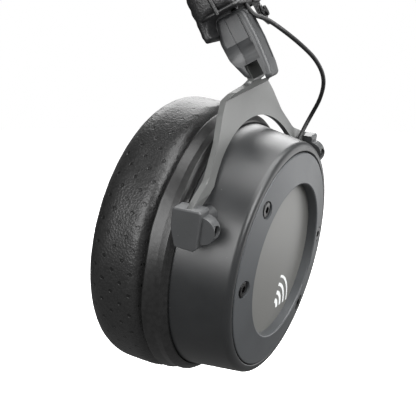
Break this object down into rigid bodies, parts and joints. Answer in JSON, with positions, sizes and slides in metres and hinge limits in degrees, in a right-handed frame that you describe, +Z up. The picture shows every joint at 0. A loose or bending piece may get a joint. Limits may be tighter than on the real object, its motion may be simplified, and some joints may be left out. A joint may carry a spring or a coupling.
{
  "type": "over ear headphones",
  "caption": "Closed over-ear headphones: padded spring headband, sliding and swivelling forks, tilting cups with soft ring pads, cover rings, bass vent sliders and a cable socket.",
  "frame": {"origin": "middle of the headband pad's underside, where it rests on the head", "axes": "+Z up, +X to the wearer's right (across the cups), +Y to the wearer's front"},
  "size_m": [0.2124, 0.1057, 0.1843],
  "materials": {
    "spring_steel": "blued spring steel strip",
    "leatherette": "black leatherette, fine grain",
    "pad_leatherette": "black leatherette, perforated",
    "foam": "open-cell foam",
    "stud_metal": "black lacquered press studs",
    "lead_jacket": "matt black",
    "block_plastic": "moulded, dark grey, fine grain",
    "slide_plastic": "low-friction moulding",
    "fork_steel": "satin grey coated sheet steel",
    "bright_steel": "bright",
    "black_steel": "black oxide",
    "shell_plastic": "satin, moulded",
    "ring_plastic": "satin, moulded",
    "inlay_sheet": "satin printed sheet",
    "fleece": "needled fleece",
    "magnet_metal": "nickel plated",
    "driver_plastic": "moulded",
    "membrane": "thin polymer film",
    "baffle_plastic": "moulded",
    "slider_plastic": "moulded"
  },
  "bodies": {
    "headband": {"spring_band": "spring_steel", "band_pad": "leatherette", "cross_lead": "lead_jacket", "band_foam": "foam", "band_snaps": "stud_metal", "right_block_outer": "block_plastic", "right_block_inner": "block_plastic", "right_band_rivets": "bright_steel", "right_detent_spring": "bright_steel", "right_cup_lead": "lead_jacket", "left_block_outer": "block_plastic", "left_block_inner": "block_plastic", "left_band_rivets": "bright_steel", "left_detent_spring": "bright_steel", "left_cup_lead": "lead_jacket"},
    "right_slider": {"right_slide_shoe": "slide_plastic"},
    "right_fork": {"right_fork": "fork_steel", "right_swivel_pin": "bright_steel", "right_front_bracket": "block_plastic", "right_rear_bracket": "block_plastic", "right_bracket_screws": "black_steel"},
    "right_cup": {"right_cup_shell": "shell_plastic", "right_cover_ring": "ring_plastic", "right_ring_screws": "black_steel", "right_cover_inlay": "inlay_sheet", "right_damping_fleece": "fleece", "right_driver_magnet": "magnet_metal", "right_driver_frame": "driver_plastic", "right_driver_diaphragm": "membrane", "right_baffle": "baffle_plastic", "right_ear_pad": "pad_leatherette", "right_pad_foam": "foam", "right_foam_disc": "foam", "right_lead_grommet": "lead_jacket", "right_vent_plate": "baffle_plastic"},
    "right_bass": {"right_bass_slider": "slider_plastic"},
    "left_slider": {"left_slide_shoe": "slide_plastic"},
    "left_fork": {"left_fork": "fork_steel", "left_swivel_pin": "bright_steel", "left_front_bracket": "block_plastic", "left_rear_bracket": "block_plastic", "left_bracket_screws": "black_steel"},
    "left_cup": {"left_cup_shell": "shell_plastic", "left_cover_ring": "ring_plastic", "left_ring_screws": "black_steel", "left_cover_inlay": "inlay_sheet", "left_damping_fleece": "fleece", "left_driver_magnet": "magnet_metal", "left_driver_frame": "driver_plastic", "left_driver_diaphragm": "membrane", "left_baffle": "baffle_plastic", "left_ear_pad": "pad_leatherette", "left_pad_foam": "foam", "left_foam_disc": "foam", "left_lead_grommet": "lead_jacket", "left_vent_plate": "baffle_plastic", "jack_socket": "driver_plastic"},
    "left_bass": {"left_bass_slider": "slider_plastic"}
  },
  "joints": [
    {"name": "right_slide", "type": "slide", "parent": "headband", "child": "right_slider", "axis": [0.4695, 0, -0.8829], "range_m": [0, 0.024], "deforming": ["right_cup_lead"]},
    {"name": "right_swivel", "type": "hinge", "parent": "right_slider", "child": "right_fork", "pos_m": [0.08671, 0, -0.06204], "axis": [-0.4695, 0, 0.8829], "range_deg": [0, 29]},
    {"name": "right_tilt", "type": "hinge", "parent": "right_fork", "child": "right_cup", "pos_m": [0.08464, 0.00511, -0.09964], "axis": [0.2241, 0.9673, 0.1191], "range_deg": [-15, 2]},
    {"name": "right_bass_control", "type": "slide", "parent": "right_cup", "child": "right_bass", "axis": [-0.2286, -0.4326, -0.8721], "range_m": [0, 0.009]},
    {"name": "left_slide", "type": "slide", "parent": "headband", "child": "left_slider", "axis": [-0.4695, 0, -0.8829], "range_m": [0, 0.024], "deforming": ["left_cup_lead"]},
    {"name": "left_swivel", "type": "hinge", "parent": "left_slider", "child": "left_fork", "pos_m": [-0.08671, 0, -0.06204], "axis": [-0.4695, 0, -0.8829], "range_deg": [0, 29]},
    {"name": "left_tilt", "type": "hinge", "parent": "left_fork", "child": "left_cup", "pos_m": [-0.08464, 0.00511, -0.09964], "axis": [0.2241, -0.9673, -0.1191], "range_deg": [-15, 2]},
    {"name": "left_bass_control", "type": "slide", "parent": "left_cup", "child": "left_bass", "axis": [0.2286, -0.4326, -0.8721], "range_m": [0, 0.009]}
  ]
}
